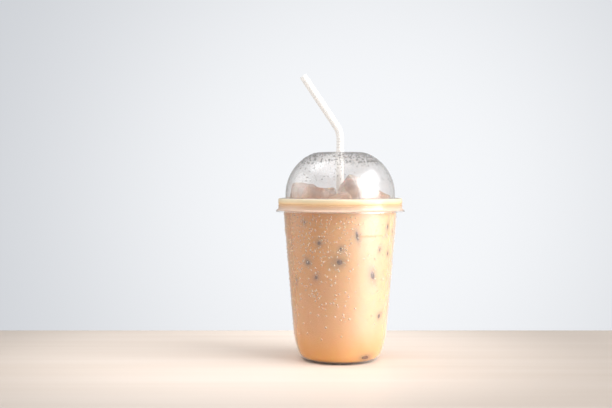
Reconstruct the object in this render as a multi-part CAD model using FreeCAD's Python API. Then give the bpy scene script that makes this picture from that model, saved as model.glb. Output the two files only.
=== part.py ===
"""Iced milk coffee in a clear to-go cup with a dome lid and a bendy straw.

Millimetres, +Z up.  The origin is on the table, at the centre of the cup's
base.  The bend of the straw leans towards -X.

Nodes: cup, lid, straw, coffee and one node for each ice block that stands
out of the drink.
"""
import FreeCAD
import Part
import math
import os

Vector = FreeCAD.Vector

# ---- cup: thin clear shell, U-shaped, with a rolled rim --------------------
CUP_HEIGHT = 125.9            # table to the top of the rim
CUP_WALL = 0.5
CUP_MOUTH_RADIUS = 47.7       # outside of the rolled rim
FOOT_RADIUS = 23.9            # outside of the flat ring that the cup stands on
FOOT_RING_WIDTH = 6.4
PANEL_RISE = 1.6              # the base panel inside that ring stands higher
PANEL_SLOPE_RUN = 2.0
PANEL_ROUNDING = 1.2
BASE_CORNER_RADIUS = 9.5
BASE_CORNER_TURN = 69.6       # degrees turned by the base corner
HIP_RADIUS = 67.0             # long soft bend between corner and wall

RIM_CURL_GAP = 0.8            # inside the rolled rim
RIM_CURL_DROP = 3.0
COLLAR_HEIGHT = 8.2           # rim top to the collar's shoulder
COLLAR_STEP = 2.15            # the collar is this much wider than the wall
COLLAR_RISE = 1.6
SHOULDER_ROUNDING = 1.0
LEDGE_DROP = 27.7             # rim top to the stacking ledge
LEDGE_STEP = 0.35
LEDGE_RISE = 1.1
LEDGE_ROUNDING = 0.7
BAND_TAPER = 1.15             # the wall narrows this much, collar to ledge

# ---- drink -----------------------------------------------------------------
FILL_BELOW_RIM = 1.2
DRINK_CLEARANCE = 0.02        # between the drink and the cup's wall

# ---- lid: clear dome with a shelf, a skirt and a flared lip ----------------
LID_WALL = 0.45
LID_SEAT_GAP = 0.05           # shelf above the rim
LID_SKIRT_GAP = 0.35          # skirt outside the rim
SKIRT_DEPTH = 7.9             # top of the shelf to the flare
SNAP_DEPTH = 0.65             # groove that grips under the rolled rim
SNAP_RISE = 0.5
SNAP_BELOW_CURL = 0.9
LIP_STEP = 1.9                # the lip is this much wider than the skirt
LIP_RISE = 1.5
LIP_HEIGHT = 0.9
FLARE_ROUNDING = 0.6
SNAP_ROUNDING = 0.5
SHELF_ROUNDING = 1.0          # outer edge of the shelf
DOME_FOOT_ROUNDING = 0.8
DOME_BASE_INSET = 5.65        # skirt face to dome face
SHELF_SLOPE = 0.4
DOME_HEIGHT = 36.0            # shelf to the flat top
DOME_STRAIGHT = 3.2           # upright part of the dome above the shelf
DOME_SIDE_TURN = 66.4         # degrees turned by the side's arc
DOME_SHOULDER_RADIUS = 14.7
STRAW_HOLE_RADIUS = 7.0

# ---- straw: thin tube with a bellows and one bend --------------------------
STRAW_RADIUS = 3.0
STRAW_WALL = 0.3
STRAW_HOLE_GAP = 0.35         # the straw stands this far off the hole's rear
STRAW_FOOT_GAP = 0.3          # its foot above the cup's base panel
STRAW_NECK = 2.0              # lid top to the first groove of the bellows
BELLOWS_PITCH = 2.3
BELLOWS_DEPTH = 0.32
BELLOWS_GROOVES = 4           # on the straight part
BEND_GROOVES = 4              # shallower ones round the bend
BEND_GROOVE_DEPTH = 0.16
BEND_RADIUS = 17.5
BEND_ANGLE = 33.8
ARM_LENGTH = 47.4             # end of the bend to the tip

# ---- ice: every size and place is a share of the room inside the dome -----
ICE_SHARE = 0.495             # a typical block's side
ICE_ROUNDING_SHARE = 0.062
ICE_TAPER_SHARE = 0.03        # each block is a little narrower on top
# Per block: its length, width and height as shares of the typical side; place
# round the cup in degrees, and distance from the axis and height above the
# drink as shares of the room's radius; then turn, tilt about x and tilt about
# y in degrees.
ICE_BLOCKS = [
    (1.08, 0.95, 1.00, 170, 0.660, 0.047, 25, 14, 10),
    (1.10, 0.95, 0.90, 228, 0.675, 0.019, 62, -10, 17),
    (0.84, 0.80, 0.96, 311, 0.328, 0.203, 20, 30, 28),
    (0.94, 0.78, 0.80, 269, 0.769, -0.057, 8, 12, -14),
    (0.95, 0.85, 0.86, 319, 0.790, -0.033, 48, -20, 8),
    (1.00, 0.92, 0.92, 4, 0.696, -0.066, 12, 9, 26),
    (1.02, 0.90, 0.90, 61, 0.660, 0.019, 35, 20, 8),
    (1.00, 0.92, 0.85, 113, 0.698, -0.019, 18, -14, -12),
]

# ---- sizes that follow -----------------------------------------------------
RIM_ROUNDING = RIM_CURL_GAP * 0.44
FILL_HEIGHT = CUP_HEIGHT - FILL_BELOW_RIM
PANEL_TOP = PANEL_RISE + CUP_WALL
SHELF_UNDER = CUP_HEIGHT + LID_SEAT_GAP
SHELF_TOP = SHELF_UNDER + LID_WALL
SKIRT_RADIUS = CUP_MOUTH_RADIUS + LID_SKIRT_GAP + LID_WALL
DOME_RADIUS = SKIRT_RADIUS - DOME_BASE_INSET
DOME_TOP = SHELF_TOP + DOME_HEIGHT
HEAP_RADIUS = DOME_RADIUS - LID_WALL
STRAW_Y = STRAW_HOLE_RADIUS - STRAW_RADIUS - STRAW_HOLE_GAP


# ---- outlines: corners (radius, height, rounding) in the XZ plane ----------
def flat(corner):
    return Vector(corner[0], 0, corner[1])


def rounded_path(corners):
    """Lines through the corners, with a tangent arc at each rounded one."""
    edges = []
    start = flat(corners[0])
    for before, corner, after in zip(corners, corners[1:], corners[2:]):
        here = flat(corner)
        back = (flat(before) - here).normalize()
        ahead = (flat(after) - here).normalize()
        half = back.getAngle(ahead) / 2
        reach = corner[2] / math.tan(half)
        middle = (back + ahead).normalize()
        arc_start = here + back * reach
        arc_end = here + ahead * reach
        arc_middle = here + middle * (corner[2] / math.sin(half) - corner[2])
        if (arc_start - start).Length > 1e-6:
            edges.append(Part.makeLine(start, arc_start))
        edges.append(Part.Arc(arc_start, arc_middle, arc_end).toShape())
        start = arc_end
    edges.append(Part.makeLine(start, flat(corners[-1])))
    return edges


def left_normal(start, end):
    along = (flat(end) - flat(start)).normalize()
    return Vector(-along.z, 0, along.x)


def offset_left(corners, distance):
    """The same outline moved to its left, each rounding changed to match."""
    moved = []
    last = len(corners) - 1
    for i, corner in enumerate(corners):
        into = left_normal(corners[max(i - 1, 0)], corners[max(i, 1)])
        out = left_normal(corners[min(i, last - 1)], corners[min(i + 1, last)])
        place = flat(corner) + (into + out) * (distance / (1 + into.dot(out)))
        turn = into.x * out.z - into.z * out.x
        rounding = corner[2]
        if i not in (0, last):
            rounding = max(rounding - math.copysign(distance, turn), distance / 5)
        moved.append((place.x, place.z, rounding))
    return moved


def revolve(edges):
    face = Part.Face(Part.Wire(Part.__sortEdges__(edges)))
    return face.revolve(Vector(0, 0, 0), Vector(0, 0, 1), 360)


def shell_from(corners, wall):
    """Revolved shell with its wall to the left of the outline."""
    inner = offset_left(corners, wall)
    ends = [
        Part.makeLine(flat(corners[0]), flat(inner[0])),
        Part.makeLine(flat(corners[-1]), flat(inner[-1])),
    ]
    return revolve(rounded_path(corners) + rounded_path(inner) + ends)


# ---- cup -------------------------------------------------------------------
def base_and_hip(wall_radius, wall_height):
    """The two lower corners, for a wall that ends at the given point.

    The base corner's arc starts at the foot.  The hip's arc carries on from
    it, and the straight wall is the hip's tangent through the wall's end.
    """
    turn = math.radians(BASE_CORNER_TURN)
    between = BASE_CORNER_RADIUS - HIP_RADIUS
    centre_radius = FOOT_RADIUS + between * math.sin(turn)
    centre_height = BASE_CORNER_RADIUS - between * math.cos(turn)
    across = wall_radius - centre_radius
    up = wall_height - centre_height
    touch = math.atan2(up, across) - math.acos(HIP_RADIUS / math.hypot(across, up))
    hip_turn = touch + math.pi / 2 - turn
    base_reach = BASE_CORNER_RADIUS * math.tan(turn / 2)
    run = base_reach + HIP_RADIUS * math.tan(hip_turn / 2)
    base_radius = FOOT_RADIUS + base_reach
    return [
        (base_radius, 0, BASE_CORNER_RADIUS),
        (base_radius + run * math.cos(turn), run * math.sin(turn), HIP_RADIUS),
    ]


def cup_outline():
    """Outside of the cup, from the middle of its base to the curl's end."""
    foot_inner = FOOT_RADIUS - FOOT_RING_WIDTH
    curl_radius = CUP_MOUTH_RADIUS - CUP_WALL
    collar_radius = curl_radius - RIM_CURL_GAP
    band_radius = collar_radius - COLLAR_STEP
    ledge_radius = band_radius - BAND_TAPER
    rim_under = CUP_HEIGHT - CUP_WALL
    shoulder = CUP_HEIGHT - COLLAR_HEIGHT
    ledge = CUP_HEIGHT - LEDGE_DROP
    return [
        (0, PANEL_RISE, 0),
        (foot_inner - PANEL_SLOPE_RUN, PANEL_RISE, PANEL_ROUNDING),
        (foot_inner, 0, PANEL_ROUNDING),
        *base_and_hip(ledge_radius - LEDGE_STEP, ledge),
        (ledge_radius - LEDGE_STEP, ledge, LEDGE_ROUNDING),
        (ledge_radius, ledge + LEDGE_RISE, LEDGE_ROUNDING),
        (band_radius, shoulder, SHOULDER_ROUNDING),
        (collar_radius, shoulder + COLLAR_RISE, SHOULDER_ROUNDING),
        (collar_radius, rim_under, RIM_ROUNDING),
        (curl_radius, rim_under, RIM_ROUNDING),
        (curl_radius, CUP_HEIGHT - RIM_CURL_DROP, 0),
    ]


def make_cup():
    return shell_from(cup_outline(), CUP_WALL)


# ---- lid -------------------------------------------------------------------
def lid_outline():
    """Outside of the lid, from the lip's lower edge to the straw hole."""
    flare = SHELF_TOP - SKIRT_DEPTH
    lip_radius = SKIRT_RADIUS + LIP_STEP
    lip_top = flare - LIP_RISE
    snap = CUP_HEIGHT - RIM_CURL_DROP - SNAP_BELOW_CURL
    turn = math.radians(DOME_SIDE_TURN)
    shoulder_turn = math.pi / 2 - turn
    shoulder_rise = DOME_SHOULDER_RADIUS * (1 - math.sin(turn))
    side_rise = DOME_HEIGHT - DOME_STRAIGHT - shoulder_rise
    side_radius = side_rise / math.sin(turn)
    run = (side_radius * math.tan(turn / 2)
           + DOME_SHOULDER_RADIUS * math.tan(shoulder_turn / 2))
    return [
        (lip_radius, lip_top - LIP_HEIGHT, 0),
        (lip_radius, lip_top, FLARE_ROUNDING),
        (SKIRT_RADIUS, flare, FLARE_ROUNDING),
        (SKIRT_RADIUS, snap - SNAP_RISE, SNAP_ROUNDING),
        (SKIRT_RADIUS - SNAP_DEPTH, snap, SNAP_ROUNDING),
        (SKIRT_RADIUS, snap + SNAP_RISE, SNAP_ROUNDING),
        (SKIRT_RADIUS, SHELF_TOP, SHELF_ROUNDING),
        (DOME_RADIUS, SHELF_TOP + SHELF_SLOPE, DOME_FOOT_ROUNDING),
        (DOME_RADIUS, DOME_TOP - run * math.cos(turn), side_radius),
        (DOME_RADIUS - run * math.sin(turn), DOME_TOP, DOME_SHOULDER_RADIUS),
        (STRAW_HOLE_RADIUS, DOME_TOP, 0),
    ]


def make_lid():
    return shell_from(lid_outline(), LID_WALL)


# ---- straw -----------------------------------------------------------------
STRAW_FOOT = PANEL_TOP + STRAW_FOOT_GAP
BELLOWS_START = DOME_TOP + STRAW_NECK
BEND_START = BELLOWS_START + BELLOWS_PITCH * BELLOWS_GROOVES
STEM_LENGTH = BEND_START - STRAW_FOOT
BEND_LENGTH = BEND_RADIUS * math.radians(BEND_ANGLE)
STRAW_LENGTH = STEM_LENGTH + BEND_LENGTH + ARM_LENGTH


def straw_place(distance):
    """Point and lean of the straw's axis, this far along it from the foot."""
    in_bend = min(max(distance - STEM_LENGTH, 0), BEND_LENGTH)
    lean = in_bend / BEND_RADIUS
    in_arm = distance - STEM_LENGTH - in_bend if distance > STEM_LENGTH else 0
    up = min(distance, STEM_LENGTH) + STRAW_FOOT
    x = -BEND_RADIUS * (1 - math.cos(lean)) - in_arm * math.sin(lean)
    z = up + BEND_RADIUS * math.sin(lean) + in_arm * math.cos(lean)
    return Vector(x, STRAW_Y, z), lean


def straw_ring(distance, radius):
    point, lean = straw_place(distance)
    ring = Part.Wire(Part.makeCircle(radius))
    turned = FreeCAD.Rotation(Vector(0, 1, 0), -math.degrees(lean))
    ring.Placement = FreeCAD.Placement(point, turned)
    return ring


def straw_sections():
    """(distance, radius) along the tube: plain, bellows, bend, plain."""
    sections = [(0, STRAW_RADIUS)]
    start = STEM_LENGTH - BELLOWS_PITCH * BELLOWS_GROOVES
    for groove in range(BELLOWS_GROOVES):
        ridge = start + groove * BELLOWS_PITCH
        sections.append((ridge, STRAW_RADIUS))
        sections.append((ridge + BELLOWS_PITCH / 2, STRAW_RADIUS - BELLOWS_DEPTH))
    pitch = BEND_LENGTH / BEND_GROOVES
    for groove in range(BEND_GROOVES):
        ridge = STEM_LENGTH + groove * pitch
        sections.append((ridge, STRAW_RADIUS))
        sections.append((ridge + pitch / 2, STRAW_RADIUS - BEND_GROOVE_DEPTH))
    sections.append((STEM_LENGTH + BEND_LENGTH, STRAW_RADIUS))
    sections.append((STRAW_LENGTH, STRAW_RADIUS))
    return sections


def loft_along(sections):
    rings = [straw_ring(distance, radius) for distance, radius in sections]
    return Part.makeLoft(rings, True, True)


def make_straw():
    outside = straw_sections()
    bore = [(distance, radius - STRAW_WALL) for distance, radius in outside]
    bore[0] = (-1, bore[0][1])
    bore[-1] = (STRAW_LENGTH + 1, bore[-1][1])
    return loft_along(outside).cut(loft_along(bore))


# ---- ice and drink ---------------------------------------------------------
def make_ice(row):
    """One melted block: tapered, rounded, turned and tilted into place."""
    share_x, share_y, share_z, round_cup, distance, rise, turn, tilt_x, tilt_y = row
    half_x = HEAP_RADIUS * ICE_SHARE * share_x / 2
    half_y = HEAP_RADIUS * ICE_SHARE * share_y / 2
    half_z = HEAP_RADIUS * ICE_SHARE * share_z / 2
    top_x = half_x - HEAP_RADIUS * ICE_TAPER_SHARE
    top_y = half_y - HEAP_RADIUS * ICE_TAPER_SHARE
    # makeWedge tapers along its own y, which is turned up afterwards
    block = Part.makeWedge(-half_x, -half_z, -half_y, -top_y, -top_x,
                           half_x, half_z, half_y, top_y, top_x)
    block = block.makeFillet(HEAP_RADIUS * ICE_ROUNDING_SHARE, block.Edges)
    block.rotate(Vector(0, 0, 0), Vector(1, 0, 0), 90)
    block.rotate(Vector(0, 0, 0), Vector(0, 0, 1), turn)
    block.rotate(Vector(0, 0, 0), Vector(1, 0, 0), tilt_x)
    block.rotate(Vector(0, 0, 0), Vector(0, 1, 0), tilt_y)
    angle = math.radians(round_cup)
    out = HEAP_RADIUS * distance
    block.translate(Vector(out * math.cos(angle), out * math.sin(angle),
                           FILL_HEIGHT + HEAP_RADIUS * rise))
    return block


def make_coffee(straw, ice):
    """The cup's hollow up to the drink's surface, cut round straw and ice."""
    inner = offset_left(cup_outline(), CUP_WALL + DRINK_CLEARANCE)[:-2]
    top_radius = inner[-1][0]
    inner[-1] = (top_radius, FILL_HEIGHT, 0)
    surface = Part.makeLine(flat(inner[-1]), Vector(0, 0, FILL_HEIGHT))
    axis = Part.makeLine(Vector(0, 0, FILL_HEIGHT), flat(inner[0]))
    drink = revolve(rounded_path(inner) + [surface, axis])
    drink = drink.cut(straw)
    for block in ice:
        drink = drink.cut(block)
    return drink


def main():
    straw = make_straw()
    ice = [make_ice(row) for row in ICE_BLOCKS]
    nodes = {
        "cup": make_cup(),
        "lid": make_lid(),
        "straw": straw,
        "coffee": make_coffee(straw, ice),
    }
    for number, block in enumerate(ice, 1):
        nodes["ice_%d" % number] = block
    os.makedirs("parts", exist_ok=True)
    for name, shape in nodes.items():
        shape.exportStep("parts/%s.step" % name)
        box = shape.BoundBox
        print("%-8s %d solid  valid %s  %8.2f cm3  z %.1f to %.1f" % (
            name, len(shape.Solids), shape.isValid(), shape.Volume / 1000,
            box.ZMin, box.ZMax))


main()
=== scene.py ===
# %% [markdown]
# # Iced milk coffee in a clear cup
#
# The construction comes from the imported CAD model: a thin cup, a dome lid, a
# bendy straw, the drink and eight blocks of ice.  This lesson gives them their
# looks.  The cup and the lid keep their CAD meshes and get a better finish.
# The straw, the drink and the ice are modelled again, and what the CAD leaves
# out is added: ice sunk in the drink, and drops of water on the plastic.

# %% Load the frame
import math
import random

import bmesh
import bpy
from mathutils import Matrix, Vector, noise
from mathutils.bvhtree import BVHTree


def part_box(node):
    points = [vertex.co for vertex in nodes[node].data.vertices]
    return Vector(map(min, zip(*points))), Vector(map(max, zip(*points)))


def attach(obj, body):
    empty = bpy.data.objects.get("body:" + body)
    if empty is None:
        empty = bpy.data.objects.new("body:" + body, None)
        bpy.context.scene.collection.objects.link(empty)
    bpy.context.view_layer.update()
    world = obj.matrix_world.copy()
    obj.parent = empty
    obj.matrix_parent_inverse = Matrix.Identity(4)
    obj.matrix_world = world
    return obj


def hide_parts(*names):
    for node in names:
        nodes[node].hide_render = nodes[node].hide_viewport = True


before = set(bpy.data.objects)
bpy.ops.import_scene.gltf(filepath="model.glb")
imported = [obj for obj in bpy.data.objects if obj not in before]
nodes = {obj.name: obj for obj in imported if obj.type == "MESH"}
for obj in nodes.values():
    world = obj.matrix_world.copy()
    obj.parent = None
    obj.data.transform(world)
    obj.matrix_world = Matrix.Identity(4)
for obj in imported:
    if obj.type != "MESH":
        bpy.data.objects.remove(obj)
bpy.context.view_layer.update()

print("nodes:", ", ".join(sorted(nodes)))

# %% [markdown]
# ## Measuring the cup
#
# Everything round the cup needs the radius of its wall at some height.  The
# heights are read from the boxes of the CAD nodes.  The radii could be typed
# in, but then they would be wrong after the next change of the model, so a
# ray is shot at the CAD mesh instead, and its first hit is the wall.

# %% Heights and rays
MM = 0.001
rim_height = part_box("cup")[1].z
drink_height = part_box("coffee")[1].z
dome_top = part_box("lid")[1].z
view_graph = bpy.context.evaluated_depsgraph_get()
cup_tree = BVHTree.FromObject(nodes["cup"], view_graph)
lid_tree = BVHTree.FromObject(nodes["lid"], view_graph)
FAR = 1.0


def round_axis(angle, radius, height):
    """The point at this angle round the cup's axis.  Zero degrees is +X."""
    turn = math.radians(angle)
    return Vector((radius * math.cos(turn), radius * math.sin(turn), height))


def hit_from_outside(tree, angle, height):
    """Place and outward normal of the outermost wall at this height."""
    start = round_axis(angle, FAR, height)
    place, normal, _, _ = tree.ray_cast(start, round_axis(angle, -1, 0))
    return place, normal


def hit_from_point(tree, start, direction):
    """Place and normal of the first wall seen from a point inside."""
    place, normal, _, _ = tree.ray_cast(start, direction)
    return place, normal


print("cup radius at half height, mm:",
      round(hit_from_outside(cup_tree, 0, rim_height / 2)[0].x / MM, 2))

# %% [markdown]
# ## The camera
#
# The object is seen from a little above the rim, almost level, through a
# fairly long lens, so that the cup's sides hardly converge.

# %% Camera
CAMERA_PLACE = Vector((-0.0268, -0.771, 0.1434))
CAMERA_TILT = 1.598           # degrees below the horizon
LENS = 57.77                  # mm, on a sensor 36 mm wide
SENSOR = 36.0

camera_data = bpy.data.cameras.new("camera")
camera_data.lens = LENS
camera_data.sensor_width = SENSOR
camera = bpy.data.objects.new("camera", camera_data)
camera.location = CAMERA_PLACE
camera.rotation_euler = (math.radians(90 - CAMERA_TILT), 0, 0)
bpy.context.collection.objects.link(camera)
bpy.context.scene.camera = camera
print("camera looks along +Y from", tuple(round(c, 3) for c in CAMERA_PLACE))

# %% [markdown]
# ## Node helpers
#
# A material is a small graph.  These helpers add a node, set its sockets and
# link it, so that each material below reads as a list of its layers.

# %% Helpers for materials: nodes


def new_material(name):
    """A material, and its graph, which is empty."""
    material = bpy.data.materials.new(name)
    material.use_nodes = True
    graph = material.node_tree
    graph.nodes.clear()
    return material, graph


def add(graph, kind, inputs=None, **settings):
    """A node of this kind.  A socket's value may be a number, a colour or
    another node's socket, which is then linked."""
    node = graph.nodes.new("ShaderNode" + kind)
    for name, value in settings.items():
        setattr(node, name, value)
    for name, value in (inputs or {}).items():
        socket = node.inputs[name]
        if isinstance(value, bpy.types.NodeSocket):
            graph.links.new(value, socket)
        else:
            socket.default_value = value
    return node


def finish_surface(graph, shader):
    """Make this shader the material's surface."""
    add(graph, "OutputMaterial", {"Surface": shader})


def math_node(graph, operation, first, second=0.0, third=0.0, clamp=False):
    node = add(graph, "Math", {0: first, 1: second, 2: third},
               operation=operation, use_clamp=clamp)
    return node.outputs[0]


def coordinate(graph, place, axis):
    """One coordinate of a place: X, Y or Z."""
    return add(graph, "SeparateXYZ", {"Vector": place}).outputs[axis]


def distance_from(graph, place, point):
    node = add(graph, "VectorMath", {0: place, 1: point}, operation="DISTANCE")
    return node.outputs["Value"]


# %% Helpers for materials: colours, shaders and patterns
MIX_FIRST, MIX_SECOND, MIX_RESULT = 6, 7, 2     # a Mix node's sockets for colours


def blend(graph, share, first, second):
    """A colour between two.  Share 0 gives the first, and 1 the second."""
    node = add(graph, "Mix", {"Factor": share, MIX_FIRST: first, MIX_SECOND: second},
               data_type="RGBA")
    return node.outputs[MIX_RESULT]


def cover(graph, share, under, over):
    """A shader covered with this share of another one."""
    return add(graph, "MixShader", {"Fac": share, 1: under, 2: over}).outputs[0]


def ramp(graph, factor, stops):
    """Colour ramp: a list of (position, colour)."""
    node = add(graph, "ValToRGB", {"Fac": factor})
    elements = node.color_ramp.elements
    while len(elements) < len(stops):
        elements.new(0.5)
    for element, (position, colour) in zip(elements, stops):
        element.position = position
        element.color = (*colour, 1)
    return node.outputs["Color"]


def object_place(graph):
    return add(graph, "TexCoord").outputs["Object"]


def noise_of(graph, place, scale, detail=2.0, roughness=0.5):
    node = add(graph, "TexNoise", {"Vector": place, "Scale": scale,
                                   "Detail": detail, "Roughness": roughness})
    return node.outputs["Fac"]


def remap(graph, value, low, high, to_low=0.0, to_high=1.0):
    """Map a value's range to another one, clamped, with a soft start and end."""
    node = add(graph, "MapRange", {"Value": value, "From Min": low,
                                   "From Max": high, "To Min": to_low,
                                   "To Max": to_high},
               interpolation_type="SMOOTHSTEP")
    return node.outputs["Result"]


def set_material(piece, material):
    piece.data.materials.clear()
    piece.data.materials.append(material)


# %% [markdown]
# ## The studio
#
# A pale table top that ends a little behind the cup, and a pale room.  The
# room's colour as the camera sees it is nearly white, but as a light it is
# dimmer, because a real backdrop lights the plastic only from behind.  The
# main light is a large soft box on the right.  A smaller one stands above and
# behind it, for the upper right of the dome, and a small one at the upper left
# adds a highlight there.  A ceiling light and a weak wide light on the left
# keep the shaded side from going dull.  Reflections see the room dimmer still,
# or a veil of white would lie over the whole drink.

# %% Table top
TABLE_HALF_WIDTH = 0.85
TABLE_FRONT = -1.0
TABLE_BACK = 0.141
TABLE_THICKNESS = 0.03
PAINTED_POOL_MIDDLE = (-0.07, 0.04, 0.0)      # a pool of light is painted on the table round here
POOL_INSIDE, POOL_OUTSIDE = 0.07, 0.31 # and fades between these distances
POOL_BRIGHT, POOL_DARK = 1.13, 0.60    # from this share of its colour to that
GRAIN_SCALE = (1.5, 40, 1)             # the grain runs along X
WOOD_DARK = (0.76, 0.66, 0.58)
WOOD_PALE = (0.82, 0.73, 0.66)


def make_table():
    bm = bmesh.new()
    bmesh.ops.create_cube(bm, size=1.0)
    depth = TABLE_BACK - TABLE_FRONT
    bmesh.ops.scale(bm, verts=bm.verts,
                    vec=(2 * TABLE_HALF_WIDTH, depth, TABLE_THICKNESS))
    bmesh.ops.translate(bm, verts=bm.verts,
                        vec=(0, TABLE_FRONT + depth / 2, -TABLE_THICKNESS / 2))
    mesh = bpy.data.meshes.new("table")
    bm.to_mesh(mesh)
    bm.free()
    table = bpy.data.objects.new("table", mesh)
    bpy.context.collection.objects.link(table)
    return table


def table_material():
    material, graph = new_material("pale_table")
    place = object_place(graph)
    grain_place = add(graph, "Mapping", {"Vector": place, "Scale": GRAIN_SCALE})
    grain = noise_of(graph, grain_place.outputs["Vector"], scale=1.0, detail=3.0)
    colour = ramp(graph, grain, [(0.3, WOOD_DARK), (0.7, WOOD_PALE)])
    # Painted light: a pool of light is painted into the table's colour, brightest round
    # the cup and darker towards the table's ends.
    away = distance_from(graph, place, PAINTED_POOL_MIDDLE)
    painted_pool = remap(graph, away, POOL_INSIDE, POOL_OUTSIDE, POOL_BRIGHT, POOL_DARK)
    pool_painted_colour = add(graph, "VectorMath", {0: colour, 1: painted_pool}, operation="MULTIPLY")
    shader = add(graph, "BsdfPrincipled", {"Base Color": pool_painted_colour.outputs["Vector"],
                                           "Roughness": 0.55})
    finish_surface(graph, shader.outputs[0])
    return material


table_top = make_table()
set_material(table_top, table_material())
print("table top ends", TABLE_BACK, "m behind the cup's axis")

# %% Room
ROOM_BRIGHT = (0.915, 0.93, 0.955, 1)
ROOM_CORNER = (0.60, 0.62, 0.655, 1)
ROOM_LIGHT = (0.50, 0.50, 0.50, 1)
MIRRORED_ROOM = 0.5           # how bright the room looks in a reflection
GLOW_DIRECTION = (0.06, 0, -0.02)      # the backdrop is brightest this way
GLOW_INSIDE, GLOW_OUTSIDE = 0.08, 0.48
bpy.context.scene.view_settings.view_transform = "Standard"


def make_room():
    """A pale room: nearly white straight ahead, darker to its corners."""
    world = bpy.data.worlds.new("room")
    world.use_nodes = True
    graph = world.node_tree
    graph.nodes.clear()
    direction = add(graph, "TexCoord").outputs["Generated"]
    parts = add(graph, "SeparateXYZ", {"Vector": direction}).outputs
    across = add(graph, "CombineXYZ", {"X": parts["X"], "Z": parts["Z"]}).outputs[0]
    off_centre = distance_from(graph, across, GLOW_DIRECTION)
    shade = remap(graph, off_centre, GLOW_INSIDE, GLOW_OUTSIDE)
    seen = blend(graph, shade, ROOM_BRIGHT, ROOM_CORNER)
    seen_light = add(graph, "Background", {"Color": seen, "Strength": 1.0})
    path = add(graph, "LightPath")
    mirrored = math_node(graph, "MULTIPLY_ADD", path.outputs["Is Glossy Ray"],
                         MIRRORED_ROOM - 1.0, 1.0)
    fill_light = add(graph, "Background", {"Color": ROOM_LIGHT, "Strength": mirrored})
    light = cover(graph, path.outputs["Is Camera Ray"], fill_light.outputs[0],
                  seen_light.outputs[0])
    add(graph, "OutputWorld", {"Surface": light})
    bpy.context.scene.world = world


make_room()
print("as a light the room is", ROOM_LIGHT[0], "and in a reflection",
      ROOM_LIGHT[0] * MIRRORED_ROOM)

# %% Lights
CUP_MIDDLE = Vector((0, 0, rim_height * 0.6))
# Per light: name, place, width and height in metres, power in watts, colour.
LIGHTS = [
    ("key_right", (1.32, -0.74, 0.50), 1.25, 1.6, 43.0, (1, 0.985, 0.97)),
    ("middle_right", (0.86, -0.06, 0.76), 0.5, 0.4, 2.4, (1, 1, 1)),
    ("small_left", (-0.5, 0.1, 0.9), 0.3, 0.3, 0.7, (1, 1, 1)),
    ("ceiling", (-0.35, -0.25, 1.6), 1.4, 1.4, 9.0, (1, 1, 1)),
    ("fill_left", (-1.52, 0.16, 0.45), 1.3, 1.3, 6.3, (1, 0.97, 0.93)),
]


def make_light(name, place, width, height, power, colour):
    """A rectangular soft light that faces the cup."""
    data = bpy.data.lights.new(name, "AREA")
    data.shape = "RECTANGLE"
    data.size, data.size_y = width, height
    data.energy = power
    data.color = colour
    light = bpy.data.objects.new(name, data)
    light.location = place
    facing = (CUP_MIDDLE - Vector(place)).to_track_quat("-Z", "Y")
    light.rotation_euler = facing.to_euler()
    bpy.context.collection.objects.link(light)


for row in LIGHTS:
    make_light(*row)

# %% [markdown]
# ## Clear plastic
#
# The cup and the lid are clear plastic half a millimetre thin.  Glass shaders
# bend every ray and are slow and noisy in a shell this thin, where the real
# plastic bends almost nothing.  So the shell lets light straight through, and
# reflects more the more it is seen edge on: the facing value of Layer Weight,
# raised to the fifth power, is the usual stand-in for the Fresnel law.  A cold
# drink also leaves a thin mist on the plastic, in patches.  It scatters the
# reflection of the soft box into a broad white veil, weaker near the foot.

# %% Clear plastic with mist
PLASTIC_TINT = (0.985, 0.985, 0.985, 1)
FILM_COLOUR = (0.92, 0.93, 0.94, 1)
EDGE_GLOSS = 0.85             # how much more a wall seen edge on reflects
CUP_MIST = (0.0, 0.03)        # the share of mist between and in the patches
CUP_SHINE_FOOT, CUP_SHINE_WALL = 0.07, 0.20
VEIL_FROM, VEIL_TO = 2 * MM, 35 * MM   # heights between which the veil grows


def mist_patches(graph, place, scale, thin, thick):
    patches = noise_of(graph, place, scale, detail=4.0, roughness=0.6)
    return remap(graph, patches, low=0.35, high=0.75, to_low=thin, to_high=thick)


def clear_shell(graph, place, mist, shine, metal, film_roughness):
    """Shader of the clear shell.  Mist is the share that the mist hides, and
    shine the share that reflects where the wall is seen straight on.  The
    less metal there is in the film, the whiter and duller the mist."""
    facing = add(graph, "LayerWeight", {"Blend": 0.5}).outputs["Facing"]
    fifth = math_node(graph, "POWER", facing, 5.0)
    gloss = math_node(graph, "MULTIPLY_ADD", fifth, EDGE_GLOSS, shine)
    share = math_node(graph, "ADD", gloss, mist, clamp=True)
    waves = noise_of(graph, place, scale=90.0, detail=1.0)
    bump = add(graph, "Bump", {"Height": waves, "Strength": 0.08, "Distance": 0.002})
    film = add(graph, "BsdfPrincipled", {
        "Base Color": FILM_COLOUR, "Metallic": metal,
        "Roughness": film_roughness, "Normal": bump.outputs["Normal"]})
    through = add(graph, "BsdfTransparent", {"Color": PLASTIC_TINT})
    return cover(graph, share, through.outputs[0], film.outputs[0])


def cup_material():
    material, graph = new_material("cup_plastic_clear")
    place = object_place(graph)
    mist = mist_patches(graph, place, 35.0, *CUP_MIST)
    height = coordinate(graph, place, "Z")
    shine = remap(graph, height, VEIL_FROM, VEIL_TO, CUP_SHINE_FOOT, CUP_SHINE_WALL)
    shell = clear_shell(graph, place, mist, shine, metal=0.65, film_roughness=0.42)
    finish_surface(graph, shell)
    return material


set_material(nodes["cup"], cup_material())
print("clear plastic on the cup")
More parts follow.
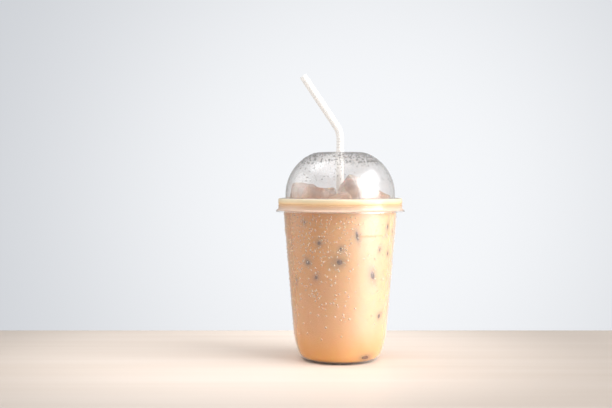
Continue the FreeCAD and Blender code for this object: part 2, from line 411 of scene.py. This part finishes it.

# %% [markdown]
# The skirt of the lid is a thick fold of plastic round the cup's rolled rim.
# It catches the colour of the drink behind it like a light guide, so the band
# looks cream, not clear.  Bending rays through all those folds is slow, so the
# skirt gets a half clear layer in the drink's colour between its lower and
# upper edge, which gives off a little light as such a guide does: a painted
# glow.  Its top layer is paler, painted light falling from above.

# %% The lid's finish
SKIRT_TOP = rim_height + 0.6 * MM
SKIRT_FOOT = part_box("lid")[0].z + 1.2 * MM
# Painted light: the top layer is paler, for light falling from above; the others are the
# drink's colour through the folds.
SKIRT_LAYERS = [(0.05, (0.80, 0.60, 0.46)), (0.42, (0.72, 0.46, 0.26)),
                (0.72, (0.84, 0.60, 0.33)), (0.95, (0.80, 0.69, 0.49))]
SKIRT_COVER = (0.50, 0.78)    # how much of the shell the colour hides, up the skirt
SKIRT_PAINTED_GLOW = 0.17
FOOT_FADE = 0.6 * MM          # half of the band's soft lower edge
TOP_FADE = 0.3 * MM           # half of its upper one
LAYER_MARGIN = 0.8 * MM
WAVE_HEIGHT = 1.6 * MM        # the layers of colour wave this much
LID_MIST = (0.02, 0.09)
TOP_MIST = 0.05               # more mist under the flat top
TOP_MIST_DEPTHS = (14 * MM, 2 * MM)    # it grows between these depths


def lid_material():
    material, graph = new_material("lid_plastic_clear")
    place = object_place(graph)
    height = coordinate(graph, place, "Z")
    patches = mist_patches(graph, place, 30.0, *LID_MIST)
    deep, shallow = TOP_MIST_DEPTHS
    under_top = remap(graph, height, dome_top - deep, dome_top - shallow, 0.0, TOP_MIST)
    mist = math_node(graph, "ADD", patches, under_top)
    shell = clear_shell(graph, place, mist, shine=0.08, metal=0.7, film_roughness=0.27)
    above_foot = remap(graph, height, SKIRT_FOOT - FOOT_FADE, SKIRT_FOOT + FOOT_FADE)
    below_top = remap(graph, height, SKIRT_TOP + TOP_FADE, SKIRT_TOP - TOP_FADE)
    band = math_node(graph, "MULTIPLY", above_foot, below_top)
    wobble = noise_of(graph, place, scale=110.0)
    shifted = math_node(graph, "MULTIPLY_ADD", wobble, WAVE_HEIGHT, height)
    level = remap(graph, shifted, SKIRT_FOOT + LAYER_MARGIN, SKIRT_TOP + LAYER_MARGIN)
    tint = ramp(graph, level, SKIRT_LAYERS)
    cream = add(graph, "BsdfPrincipled", {
        "Base Color": tint, "Roughness": 0.25, "Emission Color": tint,
        "Emission Strength": SKIRT_PAINTED_GLOW})
    thick = remap(graph, level, 0.2, 0.7, *SKIRT_COVER)
    share = math_node(graph, "MULTIPLY", band, thick)
    finish_surface(graph, cover(graph, share, shell, cream.outputs[0]))
    return material


set_material(nodes["lid"], lid_material())
print("clear plastic on the lid; the skirt's band is",
      round((SKIRT_TOP - SKIRT_FOOT) / MM, 1), "mm high")

# %% [markdown]
# ## Pieces
#
# A finished piece is one mesh object at the origin, with smooth shading, that
# rides on the only body of this model.

# %% Helper for pieces


def mesh_of(bm):
    mesh = bpy.data.meshes.new("mesh")
    bm.to_mesh(mesh)
    bm.free()
    return mesh


def finish_piece(name, mesh, material, replaced=()):
    """Turn a mesh into a piece that rides on the root body."""
    mesh.name = name
    mesh.polygons.foreach_set("use_smooth", [True] * len(mesh.polygons))
    piece = bpy.data.objects.new(name, mesh)
    bpy.context.collection.objects.link(piece)
    set_material(piece, material)
    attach(piece, "root")
    if replaced:
        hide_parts(*replaced)
    print(name, "has", len(mesh.polygons), "faces")
    return piece


# %% [markdown]
# ## The straw
#
# A bendy straw is a white plastic tube, pressed into rings where it bends.
# Its CAD mesh could be kept, but long thin triangles run over its bends, and
# short, even rings of faces take the light more smoothly.  So the tube is
# drawn again: rays from both sides measure its middle, lean and width at each
# height, and a circle is pulled from ring to ring, up the outside and down the
# bore.
#
# Light also passes through the thin wall of such a tube and makes its shaded
# side glow.  Scattering inside a wall this thin is noisy, so the material
# gives off that little light by itself.

# %% Straw: measuring
PLAIN_STEP = 4.0 * MM         # from ring to ring where the tube is plain
RINGED_STEP = 0.25 * MM       # and where it is pressed into rings
RINGED_LENGTH = 24.0 * MM     # from the dome's top to the end of the bend
LEAN_REACH = 0.4 * MM         # the lean is measured this far up and down
LAST_STEP = 0.4 * MM          # no ring is closer to the tip than this
ARM_FROM, ARM_TO = 20 * MM, 6 * MM     # this far below its top the arm is straight
straw_tree = BVHTree.FromObject(nodes["straw"], view_graph)
straw_low, straw_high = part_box("straw")
straw_depth = (straw_low.y + straw_high.y) / 2


def straw_at(height):
    """The tube's axis in x, and its width in x, at this height."""
    sides = [straw_tree.ray_cast(Vector((start, straw_depth, height)),
                                 Vector((-start, 0, 0)))[0].x
             for start in (-FAR, FAR)]
    return (sides[0] + sides[1]) / 2, sides[1] - sides[0]


def straw_lean(low, high):
    """The tube's lean between two heights, in radians."""
    return math.atan2(straw_at(high)[0] - straw_at(low)[0], high - low)


def straw_heights():
    """A height for each ring, closer together where the tube is ringed."""
    arm_low, arm_high = straw_high.z - ARM_FROM, straw_high.z - ARM_TO
    lean = straw_lean(arm_low, arm_high)
    radius = straw_at(arm_low)[1] * math.cos(lean) / 2
    tip = straw_high.z - abs(radius * math.sin(lean))
    heights = [straw_low.z]
    while heights[-1] < tip - LAST_STEP:
        ringed = dome_top < heights[-1] < dome_top + RINGED_LENGTH
        near = heights[-1] + (RINGED_STEP if ringed else PLAIN_STEP)
        if heights[-1] < dome_top < near:
            near = dome_top + RINGED_STEP
        heights.append(min(near, tip))
    return heights


def straw_stations():
    """Matrices that carry a unit circle to each ring, with its radius."""
    stations = []
    for height in straw_heights():
        level = min(max(height, straw_low.z + LEAN_REACH), straw_high.z - ARM_TO)
        lean = straw_lean(level - LEAN_REACH, level + LEAN_REACH)
        middle, width = straw_at(level)
        middle += (height - level) * math.tan(lean)
        place = Matrix.Translation((middle, straw_depth, height))
        stations.append((place @ Matrix.Rotation(lean, 4, "Y"),
                         width * math.cos(lean) / 2))
    return stations


stations = straw_stations()
print("rings up the straw:", len(stations))

# %% Straw: tube and finish
STRAW_SIDES = 48
STRAW_WALL = 0.3 * MM
STRAW_WHITES = [(0.3, (0.62, 0.605, 0.59)), (0.7, (0.66, 0.65, 0.635))]
STRAW_GLOW_COLOUR = (1.0, 0.96, 0.92, 1)
STRAW_GLOW = 0.30


def make_straw_tube(outside):
    bore = [(place, radius - STRAW_WALL) for place, radius in reversed(outside)]
    rings = outside + bore
    bm = bmesh.new()
    bmesh.ops.create_circle(bm, segments=STRAW_SIDES, radius=1.0)
    now = rings[0][0] @ Matrix.Scale(rings[0][1], 4)
    bmesh.ops.transform(bm, matrix=now, verts=bm.verts)
    edges = first = list(bm.edges)
    for place, radius in rings[1:]:
        made = bmesh.ops.extrude_edge_only(bm, edges=edges)["geom"]
        verts = [part for part in made if isinstance(part, bmesh.types.BMVert)]
        edges = [part for part in made if isinstance(part, bmesh.types.BMEdge)]
        after = place @ Matrix.Scale(radius, 4)
        bmesh.ops.transform(bm, matrix=after @ now.inverted(), verts=verts)
        now = after
    bmesh.ops.bridge_loops(bm, edges=first + edges)
    bmesh.ops.recalc_face_normals(bm, faces=bm.faces)
    return bm


def straw_material():
    material, graph = new_material("straw_white")
    tone = noise_of(graph, object_place(graph), scale=60.0)
    shader = add(graph, "BsdfPrincipled", {
        "Base Color": ramp(graph, tone, STRAW_WHITES), "Roughness": 0.3,
        "Emission Color": STRAW_GLOW_COLOUR, "Emission Strength": STRAW_GLOW})
    finish_surface(graph, shader.outputs[0])
    return material


finish_piece("bendy_straw", mesh_of(make_straw_tube(stations)), straw_material(),
             ["straw"])

# %% [markdown]
# ## Ice sunk in the drink
#
# Below the surface the milk hides the ice, except where a corner of a block
# leans on the cup.  There the drink is squeezed away and a small dark window
# shows, with a grey shadow round it where the layer of milk is thin.  Painted
# spots would be quicker, but real blocks give each window its own outline and
# a shadow that fades as the block curves away from the wall.
#
# A block is a ball, stretched and made a little uneven, as melted ice is.  It
# is turned, and then pushed out until its tip stands just inside the plastic.

# %% Sunk ice: the windows
# Per window: place round the cup in degrees, share of the cup's height, half
# width and half height of the window in mm, and the lean of the block in
# degrees.
WINDOWS = [
    (229.7, 0.869, 0.6, 0.9, 0),
    (246.2, 0.745, 1.6, 1.7, 20),
    (231.1, 0.625, 1.6, 1.7, -15),
    (240.9, 0.539, 1.1, 1.5, -30),
    (210.8, 0.505, 0.6, 1.4, 10),
    (268.6, 0.713, 0.9, 1.4, 5),
    (267.7, 0.628, 2.5, 2.4, -20),
    (285.4, 0.794, 0.9, 2.6, 12),
    (305.6, 0.546, 1.8, 3.4, 14),
    (314.2, 0.700, 0.9, 1.5, -8),
    (330.0, 0.671, 1.0, 1.4, 10),
    (325.2, 0.840, 0.9, 2.2, -10),
    (338.5, 0.805, 0.6, 1.0, 0),
    (319.9, 0.292, 1.4, 1.7, 0),
    (304.9, 0.045, 2.8, 1.3, 0),
]
print("windows of sunk ice:", len(WINDOWS))

# %% Sunk ice: one block
TIP_REACH = 0.30 * MM         # the tip stands this far out of the drink
BLOCK_DEPTH = 8.0 * MM        # half of a block's depth, away from the wall
UNEVEN = 0.10                 # how much a block's radius differs from a ball's
UNEVEN_SCALE = 1.1


def pebble():
    """Mesh of a ball of radius 1, the start of a melted block."""
    bm = bmesh.new()
    bmesh.ops.create_icosphere(bm, subdivisions=4, radius=1.0)
    return mesh_of(bm)


def add_copy(bm, mesh):
    """Add a mesh to a bmesh and return the new vertices."""
    before = len(bm.verts)
    bm.from_mesh(mesh)
    bm.verts.ensure_lookup_table()
    return bm.verts[before:]


def wall_under(angle, height):
    """Place and outward normal of the cup's inner wall."""
    start = round_axis(angle, 0, height)
    place, normal = hit_from_point(cup_tree, start, round_axis(angle, 1, 0))
    return place, -normal


def add_sunk_block(bm, row, dice):
    angle, share, half_width, half_height, lean = row
    place, outward = wall_under(angle, share * rim_height)
    side = Vector((0, 0, 1)).cross(outward).normalized()
    up = outward.cross(side)
    spread = math.sqrt(2 * TIP_REACH / BLOCK_DEPTH)
    verts = add_copy(bm, block_mesh)
    wobble = Vector((dice.uniform(0, 50), 0, 0))
    for v in verts:
        v.co *= 1 + UNEVEN * noise.noise(v.co * UNEVEN_SCALE + wobble)
    size = Matrix.Diagonal((half_width * MM / spread, half_height * MM / spread,
                            BLOCK_DEPTH, 1))
    turn = Matrix.Rotation(math.radians(lean), 4, "Z")
    frame_of_wall = Matrix((side, up, outward)).transposed().to_4x4()
    bmesh.ops.transform(bm, matrix=frame_of_wall @ turn @ size, verts=verts)
    tip = max(verts, key=lambda v: v.co.dot(outward)).co.copy()
    shift = place + outward * TIP_REACH - tip
    bmesh.ops.translate(bm, verts=verts, vec=shift)


block_mesh = pebble()
print("one sunk block has", len(block_mesh.polygons), "faces")

# %% Sunk ice: the piece
SUNK_BROWNS = [(0.3, (0.11, 0.042, 0.020)), (0.7, (0.22, 0.095, 0.050))]


def dark_ice_material():
    material, graph = new_material("sunk_ice_dark")
    cloud = noise_of(graph, object_place(graph), scale=500.0)
    colour = ramp(graph, cloud, SUNK_BROWNS)
    shader = add(graph, "BsdfPrincipled", {"Base Color": colour, "Roughness": 0.25})
    finish_surface(graph, shader.outputs[0])
    return material


def make_sunk_ice():
    bm = bmesh.new()
    dice = random.Random(7)
    for row in WINDOWS:
        add_sunk_block(bm, row, dice)
    bmesh.ops.recalc_face_normals(bm, faces=bm.faces)
    return bm


sunk_blocks = make_sunk_ice()
sunk_tree = BVHTree.FromBMesh(sunk_blocks)
finish_piece("sunk_ice", mesh_of(sunk_blocks), dark_ice_material())

# %% [markdown]
# ## The drink
#
# The drink fills the cup.  With a gap of air between drink and plastic it
# would look like a block standing in the cup, so its skin reaches a little way
# into the wall.  The outline is measured: rays from a point on the axis meet
# the cup's inner wall, and the hits are moved outward by the reach.  Spinning
# that outline makes the body.

# %% Drink: outline
REACH = 0.05 * MM             # how far the drink's skin goes into the plastic
BASE_RAYS = 40
WALL_ROWS = 96
RAY_HEIGHT = 0.3              # share of the cup's height


def drink_outline():
    """Points from the middle of the base, up the wall to the surface."""
    centre = Vector((0, 0, RAY_HEIGHT * rim_height))
    points = []
    for i in range(1, BASE_RAYS):
        dip = math.radians(-90 + 90 * i / BASE_RAYS)
        way = Vector((math.cos(dip), 0, math.sin(dip)))
        place, normal = hit_from_point(cup_tree, centre, way)
        points.append(place - normal * REACH)
    for i in range(WALL_ROWS + 1):
        height = centre.z + (drink_height - centre.z) * i / WALL_ROWS
        place, outward = wall_under(0, height)
        points.append(place + outward * REACH)
    bottom, _ = hit_from_point(cup_tree, centre, Vector((0, 0, -1)))
    points.insert(0, Vector((0, 0, bottom.z - REACH)))
    points.append(Vector((0, 0, drink_height)))
    points[-2].z = drink_height
    return points


outline = drink_outline()
print("drink:", len(outline), "points, radius at the surface",
      round(outline[-2].x / MM, 2), "mm")

# %% Drink: body
SPIN_STEPS = 288
SAME_PLACE = 0.001 * MM       # corners closer than this are merged


def make_drink_body():
    bm = bmesh.new()
    verts = [bm.verts.new((p.x, 0, p.z)) for p in outline]
    edges = [bm.edges.new(pair) for pair in zip(verts, verts[1:])]
    bmesh.ops.spin(bm, geom=verts + edges, cent=(0, 0, 0), axis=(0, 0, 1),
                   angle=2 * math.pi, steps=SPIN_STEPS, use_merge=True)
    bmesh.ops.remove_doubles(bm, verts=bm.verts, dist=SAME_PLACE)
    bmesh.ops.recalc_face_normals(bm, faces=bm.faces)
    return bm


drink_body = make_drink_body()
print("the drink's body is spun in", SPIN_STEPS, "steps")

# %% [markdown]
# ### Colour of the drink
#
# Milk coffee is a cloudy liquid: light goes in, scatters, and comes out again
# a few millimetres away, red further than blue.  Subsurface scattering does
# that, and gives the soft orange shade on the side away from the light.  Light
# is also painted into the drink's colour: the side towards the main light is
# painted paler and the other side browner, the paleness fading towards the
# foot, and a dark painted shade lies along the foot where the cup stands on the
# table.  Over the sunk blocks the layer of milk is thin, so each vertex of the
# drink stores how near the ice is, and the material turns greyer there.

# %% Drink: finish
SHADOW_DEPTH = 1.1 * MM       # ice this deep still darkens the milk above it
ICE_SEARCH = 6 * MM           # and ice deeper than this is left out
ICE_SHADOW = (0.20, 0.12, 0.09, 1)
SHADOW_STRENGTH = 0.6
# Painted light: the drink's colour on its shaded side, and the paler one on its lit
# side.
SHADED_SIDE_TONES = [(0.25, (0.70, 0.29, 0.025)), (0.75, (0.74, 0.33, 0.040))]
LIT_SIDE_TONES = [(0.25, (0.83, 0.525, 0.27)), (0.75, (0.86, 0.58, 0.32))]
LIT_SIDE_FROM, LIT_SIDE_TO = -34 * MM, 36 * MM       # painted light: the side towards the main light, +X, is paler
LIT_FADE_LOW, LIT_FADE_HIGH = 4 * MM, 40 * MM        # and that painted paleness fades towards the foot
LIT_SHARE_AT_FOOT = 0.40
FOOT_PAINTED_SHADE = (0.13, 0.04, 0.012, 1)
FOOT_SHADE, FOOT_DARK = 3.6 * MM, 1.2 * MM   # painted shade darkens the drink between these heights, along the table
SCATTER_SHARE = 0.7
SCATTER_REACH = 8 * MM
SCATTER_COLOURS = (1.0, 0.42, 0.18)          # red light goes furthest


def drink_material():
    material, graph = new_material("milk_coffee")
    place = object_place(graph)
    swirl = noise_of(graph, place, scale=22.0, detail=3.0)
    # Painted light: coffee is the browner colour of the shaded side, and milk the paler
    # colour of the lit side towards +X.
    coffee = ramp(graph, swirl, SHADED_SIDE_TONES)
    milk = ramp(graph, swirl, LIT_SIDE_TONES)
    sideways = remap(graph, coordinate(graph, place, "X"), LIT_SIDE_FROM, LIT_SIDE_TO)
    height = coordinate(graph, place, "Z")
    upward = remap(graph, height, LIT_FADE_LOW, LIT_FADE_HIGH, LIT_SHARE_AT_FOOT, 1.0)
    body = blend(graph, math_node(graph, "MULTIPLY", sideways, upward), coffee, milk)
    near_ice = add(graph, "Attribute", attribute_name="ice_below")
    shade = math_node(graph, "MULTIPLY", near_ice.outputs["Fac"], SHADOW_STRENGTH)
    over_ice = blend(graph, shade, body, ICE_SHADOW)
    # Painted shade: the drink is darker at its foot, where the cup stands on the table.
    painted_foot_shade = remap(graph, height, FOOT_SHADE, FOOT_DARK)
    shader = add(graph, "BsdfPrincipled", {
        "Base Color": blend(graph, painted_foot_shade, over_ice, FOOT_PAINTED_SHADE), "Roughness": 0.45,
        "Subsurface Weight": SCATTER_SHARE, "Subsurface Radius": SCATTER_COLOURS,
        "Subsurface Scale": SCATTER_REACH})
    finish_surface(graph, shader.outputs[0])
    return material


def store_ice_depth(piece, tree):
    """Write how strongly the sunk ice darkens the drink at each vertex."""
    values = []
    for v in piece.data.vertices:
        near = tree.find_nearest(v.co, ICE_SEARCH)[3]
        values.append(0.0 if near is None else math.exp(-near / SHADOW_DEPTH))
    attribute = piece.data.attributes.new("ice_below", "FLOAT", "POINT")
    attribute.data.foreach_set("value", values)


drink = finish_piece("drink", mesh_of(drink_body), drink_material(),
                     ["coffee"])
store_ice_depth(drink, sunk_tree)

# %% [markdown]
# ## Ice standing in the dome
#
# Eight half-melted blocks stand out of the drink.  The CAD has their places
# and sizes.  Its triangles are long and thin, so pushing their corners about
# would only crumple the block.  So each block is copied, cut into an even net
# by a voxel remesh, and then pushed in here and there by a noise, as melting
# does.
#
# The blocks are cloudy, stained by the drink near its surface, and one of
# them is browner round a point inside it.

# %% Ice: shape
SAME_CORNER = 0.01 * MM
ICE_VOXEL = 0.9 * MM          # the size of a square of the even net
MELT = 0.9 * MM               # about how deep the faces melt
MELT_EVEN, MELT_BROAD, MELT_FINE = 0.45, 0.8, 0.3      # shares of that depth
BROAD_SCALE, FINE_SCALE = 90, 330      # the larger, the smaller the hollows


def even_copy(node_name):
    """Copy of a CAD node's mesh, merged and cut into an even net."""
    bm = bmesh.new()
    bm.from_mesh(nodes[node_name].data)
    bmesh.ops.remove_doubles(bm, verts=bm.verts, dist=SAME_CORNER)
    work = bpy.data.objects.new("work", mesh_of(bm))
    bpy.context.collection.objects.link(work)
    remesh = work.modifiers.new("even", "REMESH")
    remesh.mode = "VOXEL"
    remesh.voxel_size = ICE_VOXEL
    graph = bpy.context.evaluated_depsgraph_get()
    result = bmesh.new()
    result.from_mesh(work.evaluated_get(graph).data)
    bpy.data.objects.remove(work)
    return result


def melt(bm, seed):
    """Hollow the block's faces and round its edges unevenly.  The seed shifts
    the noise, so that no two blocks melt alike."""
    shift = Vector((seed * 3.7, seed * 1.9, 0))
    bm.normal_update()
    moves = []
    for v in bm.verts:
        broad = noise.noise(v.co * BROAD_SCALE + shift)
        fine = noise.noise(v.co * FINE_SCALE + shift)
        depth = MELT * (MELT_EVEN + MELT_BROAD * broad + MELT_FINE * fine)
        moves.append(v.normal * -depth)
    for v, move in zip(bm.verts, moves):
        v.co += move
    bmesh.ops.smooth_vert(bm, verts=bm.verts, factor=0.5, use_axis_x=True,
                          use_axis_y=True, use_axis_z=True)


# %% Ice: finish
ICE_CLOUD = [(0.36, (0.62, 0.45, 0.37)), (0.50, (0.97, 0.92, 0.89)),
             (0.64, (0.99, 0.97, 0.96))]
ICE_STAIN = (0.84, 0.64, 0.52, 1)
STAIN_TOP, STAIN_FOOT = 10 * MM, -1 * MM     # above the drink's surface
HEART_MIDDLE = (0.0075, -0.0205, 0.1365)    # the ice is browner round here
HEART_BROWN = (0.30, 0.16, 0.10, 1)
HEART_INSIDE, HEART_OUTSIDE = 4 * MM, 9.5 * MM
HEART_STRENGTH = 0.95
HEART_RAGGED = 6 * MM
ICE_LIGHT = (0.97, 0.92, 0.90, 1)            # the tint of light straight through
ICE_BODY, ICE_EDGE = 0.55, 0.5               # how solid it looks, and how much more
                                             # where it is seen edge on


def ice_material():
    material, graph = new_material("ice_stained")
    place = object_place(graph)
    cloud = noise_of(graph, place, scale=110.0, detail=5.0, roughness=0.7)
    stain = remap(graph, coordinate(graph, place, "Z"), drink_height + STAIN_TOP,
                  drink_height + STAIN_FOOT)
    colour = blend(graph, stain, ramp(graph, cloud, ICE_CLOUD), ICE_STAIN)
    edge = noise_of(graph, place, scale=300.0, detail=3.0)
    away = math_node(graph, "MULTIPLY_ADD", edge, HEART_RAGGED,
                     distance_from(graph, place, HEART_MIDDLE))
    heart = remap(graph, away, HEART_INSIDE, HEART_OUTSIDE, HEART_STRENGTH, 0.0)
    dents = noise_of(graph, place, scale=260.0, detail=3.0)
    bump = add(graph, "Bump", {"Height": dents, "Strength": 0.5, "Distance": 0.001})
    body = add(graph, "BsdfPrincipled", {
        "Base Color": blend(graph, heart, colour, HEART_BROWN), "Roughness": 0.15,
        "IOR": 1.31, "Transmission Weight": 0.6, "Normal": bump.outputs["Normal"]})
    facing = add(graph, "LayerWeight", {"Blend": 0.35}).outputs["Facing"]
    share = math_node(graph, "MULTIPLY_ADD", facing, ICE_EDGE, ICE_BODY, clamp=True)
    through = add(graph, "BsdfTransparent", {"Color": ICE_LIGHT})
    finish_surface(graph, cover(graph, share, through.outputs[0], body.outputs[0]))
    return material


stained_ice = ice_material()
ice_nodes = sorted(name for name in nodes if name.startswith("ice_"))
for seed, name in enumerate(ice_nodes, 1):
    block = even_copy(name)
    melt(block, seed)
    finish_piece("melted_" + name, mesh_of(block), stained_ice, [name])

# %% [markdown]
# ## Drops of water
#
# The cold cup is covered with small drops, densest on its upper half, but on
# one side most of them have dried off.  The lid carries them inside, under its
# flat top and more of them to one side.  Each could be its own object, but
# there are more than a thousand, so they are joined into one mesh for the cup
# and one for the lid.  A drop is a flattened ball with 40 faces, half of it in
# the plastic, and a simple test keeps drops from growing into one another.

# %% Drops: one drop, and copies of it
DROP_RING = 8
DROP_ROWS = 5
NEARLY_LEVEL = 0.01           # a wall this near to level has no side of its own


def round_drop():
    """Mesh of a ball of radius 1 with few faces."""
    bm = bmesh.new()
    bmesh.ops.create_uvsphere(bm, u_segments=DROP_RING, v_segments=DROP_ROWS, radius=1.0)
    return mesh_of(bm)


def drop_matrix(place, outward, radius, height, stretch=1.0):
    """Puts a drop on a wall: its radius along the wall, and its height off it."""
    side = Vector((0, 0, 1)).cross(outward)
    if side.length < NEARLY_LEVEL:
        side = Vector((1, 0, 0)).cross(outward)
    side.normalize()
    up = outward.cross(side)
    turn = Matrix((side, up, outward)).transposed().to_4x4()
    size = Matrix.Diagonal((radius, radius * stretch, height, 1))
    return Matrix.Translation(place) @ turn @ size


def joined_copies(small, matrices):
    """One mesh of many placed copies of a small one."""
    verts = []
    faces = []
    for matrix in matrices:
        first = len(verts)
        verts.extend(matrix @ v.co for v in small.vertices)
        faces.extend([first + i for i in face.vertices] for face in small.polygons)
    mesh = bpy.data.meshes.new("copies")
    mesh.from_pydata(verts, [], faces)
    return mesh


drop_mesh = round_drop()
print("one drop has", len(drop_mesh.polygons), "faces")

# %% Drops: keeping them apart
SPACE = 1.15                  # middles stay this many times their radii apart
CELL = 3 * MM                 # neighbours are looked for in cells of this size


class Spacing:
    """Remembers the drops placed so far, and refuses one that touches."""

    def __init__(self):
        self.cells = {}

    def fits(self, place, radius):
        key = tuple(int(c // CELL) for c in place)
        for dx in (-1, 0, 1):
            for dy in (-1, 0, 1):
                for dz in (-1, 0, 1):
                    cell = (key[0] + dx, key[1] + dy, key[2] + dz)
                    for other, size in self.cells.get(cell, []):
                        if (other - place).length < SPACE * (radius + size):
                            return False
        self.cells.setdefault(key, []).append((place.copy(), radius))
        return True


# %% Drops: on the cup
CUP_DROPS = 2100              # tries, because some find no room
DROPS_FROM, DROPS_SPAN = 0.10, 0.81    # shares of the cup's height
CROWDING = 0.42               # below 1 there are more drops near the top
CUP_DROP_RADII = (0.35, 0.85)          # mm
CUP_DROP_FLATNESS = 0.5
STRETCH = (0.9, 1.35)         # a drop may hang down a little
DRY_ANGLE = 325.0             # degrees: most drops have dried off round here
DRY_WIDTH = 45.0              # degrees to either side
DRIED_SHARE = 0.7
DROP_PAINTED_LIGHT = (1.0, 0.87, 0.68, 1)
DROP_BODY, DROP_EDGE = 0.30, 0.25      # how much painted light, and how much more at its edge


def make_cup_drops():
    matrices = []
    dice = random.Random(21)
    spacing = Spacing()
    for _ in range(CUP_DROPS):
        share = dice.random() ** CROWDING
        height = rim_height * (DROPS_FROM + DROPS_SPAN * share)
        radius = dice.uniform(*CUP_DROP_RADII) * MM
        angle = dice.uniform(0, 360)
        dried = abs(angle - DRY_ANGLE) < DRY_WIDTH and dice.random() < DRIED_SHARE
        place, outward = hit_from_outside(cup_tree, angle, height)
        if spacing.fits(place, radius) and not dried:
            matrices.append(drop_matrix(place, outward, radius,
                                        radius * CUP_DROP_FLATNESS,
                                        dice.uniform(*STRETCH)))
    return joined_copies(drop_mesh, matrices)


# Painted light: water is clear, but these drops carry a pale warm film that stands in
# for the light each drop gathers like a small lens.
def painted_light_drop_material():
    material, graph = new_material("drop_on_cup")
    facing = add(graph, "LayerWeight", {"Blend": 0.5}).outputs["Facing"]
    share = math_node(graph, "MULTIPLY_ADD", facing, DROP_EDGE, DROP_BODY, clamp=True)
    film = add(graph, "BsdfPrincipled", {"Base Color": DROP_PAINTED_LIGHT, "Roughness": 0.22})
    through = add(graph, "BsdfTransparent")
    finish_surface(graph, cover(graph, share, through.outputs[0], film.outputs[0]))
    return material


finish_piece("cup_drops", make_cup_drops(), painted_light_drop_material())

# %% Drops: inside the dome
DOME_DROPS = 1500
RAYS_FROM = 4 * MM            # rays to the dome start here, above the drink
LOWEST = 6 * MM               # and no drop hangs lower than this above it
RISE_SPAN = 78                # degrees down from straight above
RISE_CROWDING = 1.5           # above 1 there are more drops near the top
COLD_SHARE = 0.45             # of the drops gather on one side, under the top
COLD_SIDE = (262, 335)        # degrees round the axis
COLD_RISE = (34, 62)          # degrees above the horizon
BIG_FROM = 38                 # degrees: only small drops hang lower
BIG_RADII = (0.35, 1.25)      # mm
SMALL_RADII = (0.2, 0.55)     # mm
DOME_DROP_FLATNESS = 0.6
WATER_TINT = (0.62, 0.62, 0.63, 1)


def make_dome_drops():
    matrices = []
    dice = random.Random(5)
    spacing = Spacing()
    centre = Vector((0, 0, drink_height + RAYS_FROM))
    for _ in range(DOME_DROPS):
        rise = 90 - RISE_SPAN * dice.random() ** RISE_CROWDING
        angle = math.radians(dice.uniform(0, 360))
        if dice.random() < COLD_SHARE:
            rise = dice.uniform(*COLD_RISE)
            angle = math.radians(dice.uniform(*COLD_SIDE))
        lean = math.radians(rise)
        way = Vector((math.cos(lean) * math.cos(angle),
                      math.cos(lean) * math.sin(angle), math.sin(lean)))
        place, inward = hit_from_point(lid_tree, centre, way)
        if place is None or place.z < drink_height + LOWEST:
            continue
        radius = dice.uniform(*(BIG_RADII if rise > BIG_FROM else SMALL_RADII)) * MM
        if spacing.fits(place, radius):
            matrices.append(drop_matrix(place, inward, radius,
                                        radius * DOME_DROP_FLATNESS))
    return joined_copies(drop_mesh, matrices)


def water_material():
    material, graph = new_material("water_clear")
    shader = add(graph, "BsdfPrincipled", {
        "Base Color": WATER_TINT, "Roughness": 0.0, "IOR": 1.33,
        "Transmission Weight": 1.0})
    finish_surface(graph, shader.outputs[0])
    return material


finish_piece("dome_drops", make_dome_drops(), water_material())
